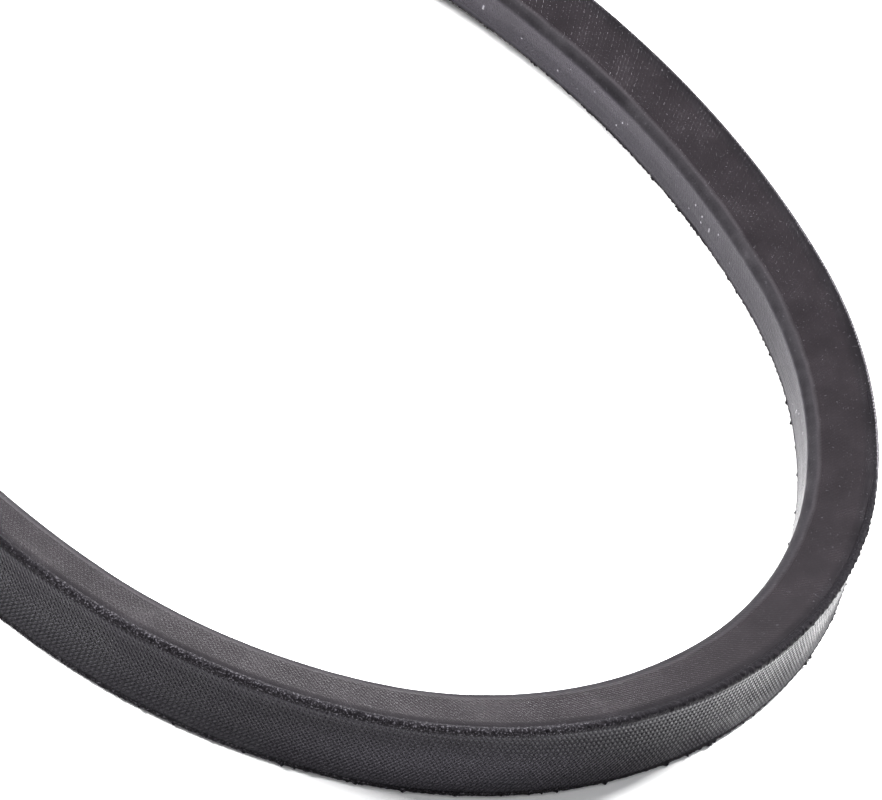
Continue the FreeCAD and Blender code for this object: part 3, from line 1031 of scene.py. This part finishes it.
@dataclass
class Studio:
    """Pale floor, soft light and the camera."""

    distance: float = 600.0
    lens: float = 190.59
    elevation: float = 43.76
    heading: float = 129.32  # direction that the camera looks in, from +X
    roll: float = -17.36
    aim: tuple[float, float, float] = (32.83, 3.55, 0.0)
    sensor: float = 36.0
    floor_half: float = 4.0  # half the floor's width, in metres
    near_wall: float = 0.1  # brightness of the room behind the camera
    side_wall: float = 0.7
    far_wall: float = 0.98
    ceiling: float = 0.75
    softboxes: tuple[Softbox, ...] = (
        Softbox("right_softbox", 76.0, 47.0, 56.0),
        Softbox("left_softbox", 46.0, 35.0, 180.0),
    )

    def camera(self) -> None:
        """Put the camera at its distance from the aim point, looking down by its elevation, turned by its roll."""
        rise, turn, roll = np.radians([self.elevation, self.heading, self.roll])
        look = Vector((np.cos(turn) * np.cos(rise), np.sin(turn) * np.cos(rise), -np.sin(rise)))
        right = Vector((np.sin(turn), -np.cos(turn), 0.0))
        up = right.cross(look)
        side = right * np.cos(roll) - up * np.sin(roll)
        head = right * np.sin(roll) + up * np.cos(roll)
        spot = (Vector(self.aim) - look * self.distance) * MM
        data = bpy.data.cameras.new("camera")
        data.lens = self.lens
        data.sensor_width = self.sensor
        camera = into_scene("camera", data)
        turned = Matrix((side, head, -look)).transposed().to_4x4()
        camera.matrix_world = Matrix.Translation(spot) @ turned
        bpy.context.scene.camera = camera

    def floor(self, height: float) -> None:
        """Lay the pale floor.

        Args:
            height: where the belt's lowest point is, in metres.
        """
        half = self.floor_half
        mesh = bpy.data.meshes.new("floor")
        mesh.from_pydata(
            [(-half, -half, height), (half, -half, height), (half, half, height), (-half, half, height)],
            [],
            [(0, 1, 2, 3)],
        )
        # Matt white card: it throws light up evenly and mirrors next to nothing.
        board, _ = start_material(
            "matt_white_board", Base_Color=linear("#f6f6f6"), Roughness=0.9, Specular_IOR_Level=0.1
        )
        mesh.materials.append(board)
        into_scene("floor", mesh)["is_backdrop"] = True

    def light(self) -> None:
        """Light the floor with a strong and a weaker softbox, in a room whose far wall is pale and near one dark."""
        turn = np.radians(self.heading)
        far = Vector((np.cos(turn), np.sin(turn), 0.0))
        right = Vector((np.sin(turn), -np.cos(turn), 0.0))
        world = bpy.data.worlds.new("room")
        world.use_nodes = True
        bpy.context.scene.world = world
        tree = world.node_tree
        look = put(tree, "TexCoord")["Generated"]
        depth = put(tree, "VectorMath", {0: look, 1: far}, operation="DOT_PRODUCT")["Value"]
        depth = remap(tree, depth, -1.0, 1.0)
        walls = [(0.0, grey(self.near_wall)), (0.5, grey(self.side_wall)), (0.9, grey(self.far_wall))]
        wall = put(tree, "ValToRGB", {0: depth}, walls)[0]
        height = put(tree, "SeparateXYZ", {0: look})[2]
        overhead = remap(tree, height, 0.1, 0.8)
        sky = put(tree, "Mix", {"Factor": overhead, "A": wall, "B": grey(self.ceiling)}, data_type="RGBA")[2]
        tree.links.new(sky, tree.nodes["Background"].inputs["Color"])
        for softbox in self.softboxes:
            softbox.hang(right, far)
        bpy.context.scene.view_settings.view_transform = "Standard"


def main() -> None:
    """Build each sub-assembly in order, then the stage, and say what was made."""
    line, section = LoopLine(), Section()
    weave = Weave(line.back_length)
    back = CoverCloth(weave, section, "rubberised_bias_woven_cloth_back", ior=1.27, haze=0.3, glint="#f2eeff")
    flanks = CoverCloth(weave, section, "rubberised_bias_woven_cloth_flanks", ior=1.34)
    torn = FlashRubber().material()

    cover = CoverPly(line, section, back.material(), flanks.material()).build()
    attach(cover, "root")
    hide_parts("outer_cover_ply")
    LOG.info("%s: %d faces", cover.name, len(cover.data.polygons))

    common = (line, section, weave, torn)
    flashes = (
        MouldingFlash("moulding_flash_upper", *common, Side.UPPER, 41, end=7.05, trimmed_to=0.2),
        MouldingFlash(
            "moulding_flash_lower", *common, Side.LOWER, 39, end=6.5, height=0.08, lumps=200, lump_sizes=(0.05, 0.32)
        ),
        MouldingFlash(
            "base_edge_flash",
            *common,
            Side.LOWER,
            57,
            start=13.9,
            end=15.7,
            height=0.13,
            teeth=0.0,
            lumps=260,
            lump_sizes=(0.06, 0.3),
            lump_places=(14.4, 15.1),
            columns=3600,
        ),
    )
    for flash in flashes:
        piece = flash.build()
        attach(piece, "root")
        LOG.info("%s: %d faces", piece.name, len(piece.data.polygons))

    LOG.info("dressed %s", ", ".join(InnerPieces().dress()))
    low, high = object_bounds()
    studio = Studio()
    studio.camera()
    studio.floor(low[2])
    studio.light()


if __name__ == "__main__":
    logging.basicConfig(level=logging.INFO, format="%(name)s: %(message)s")
    main()
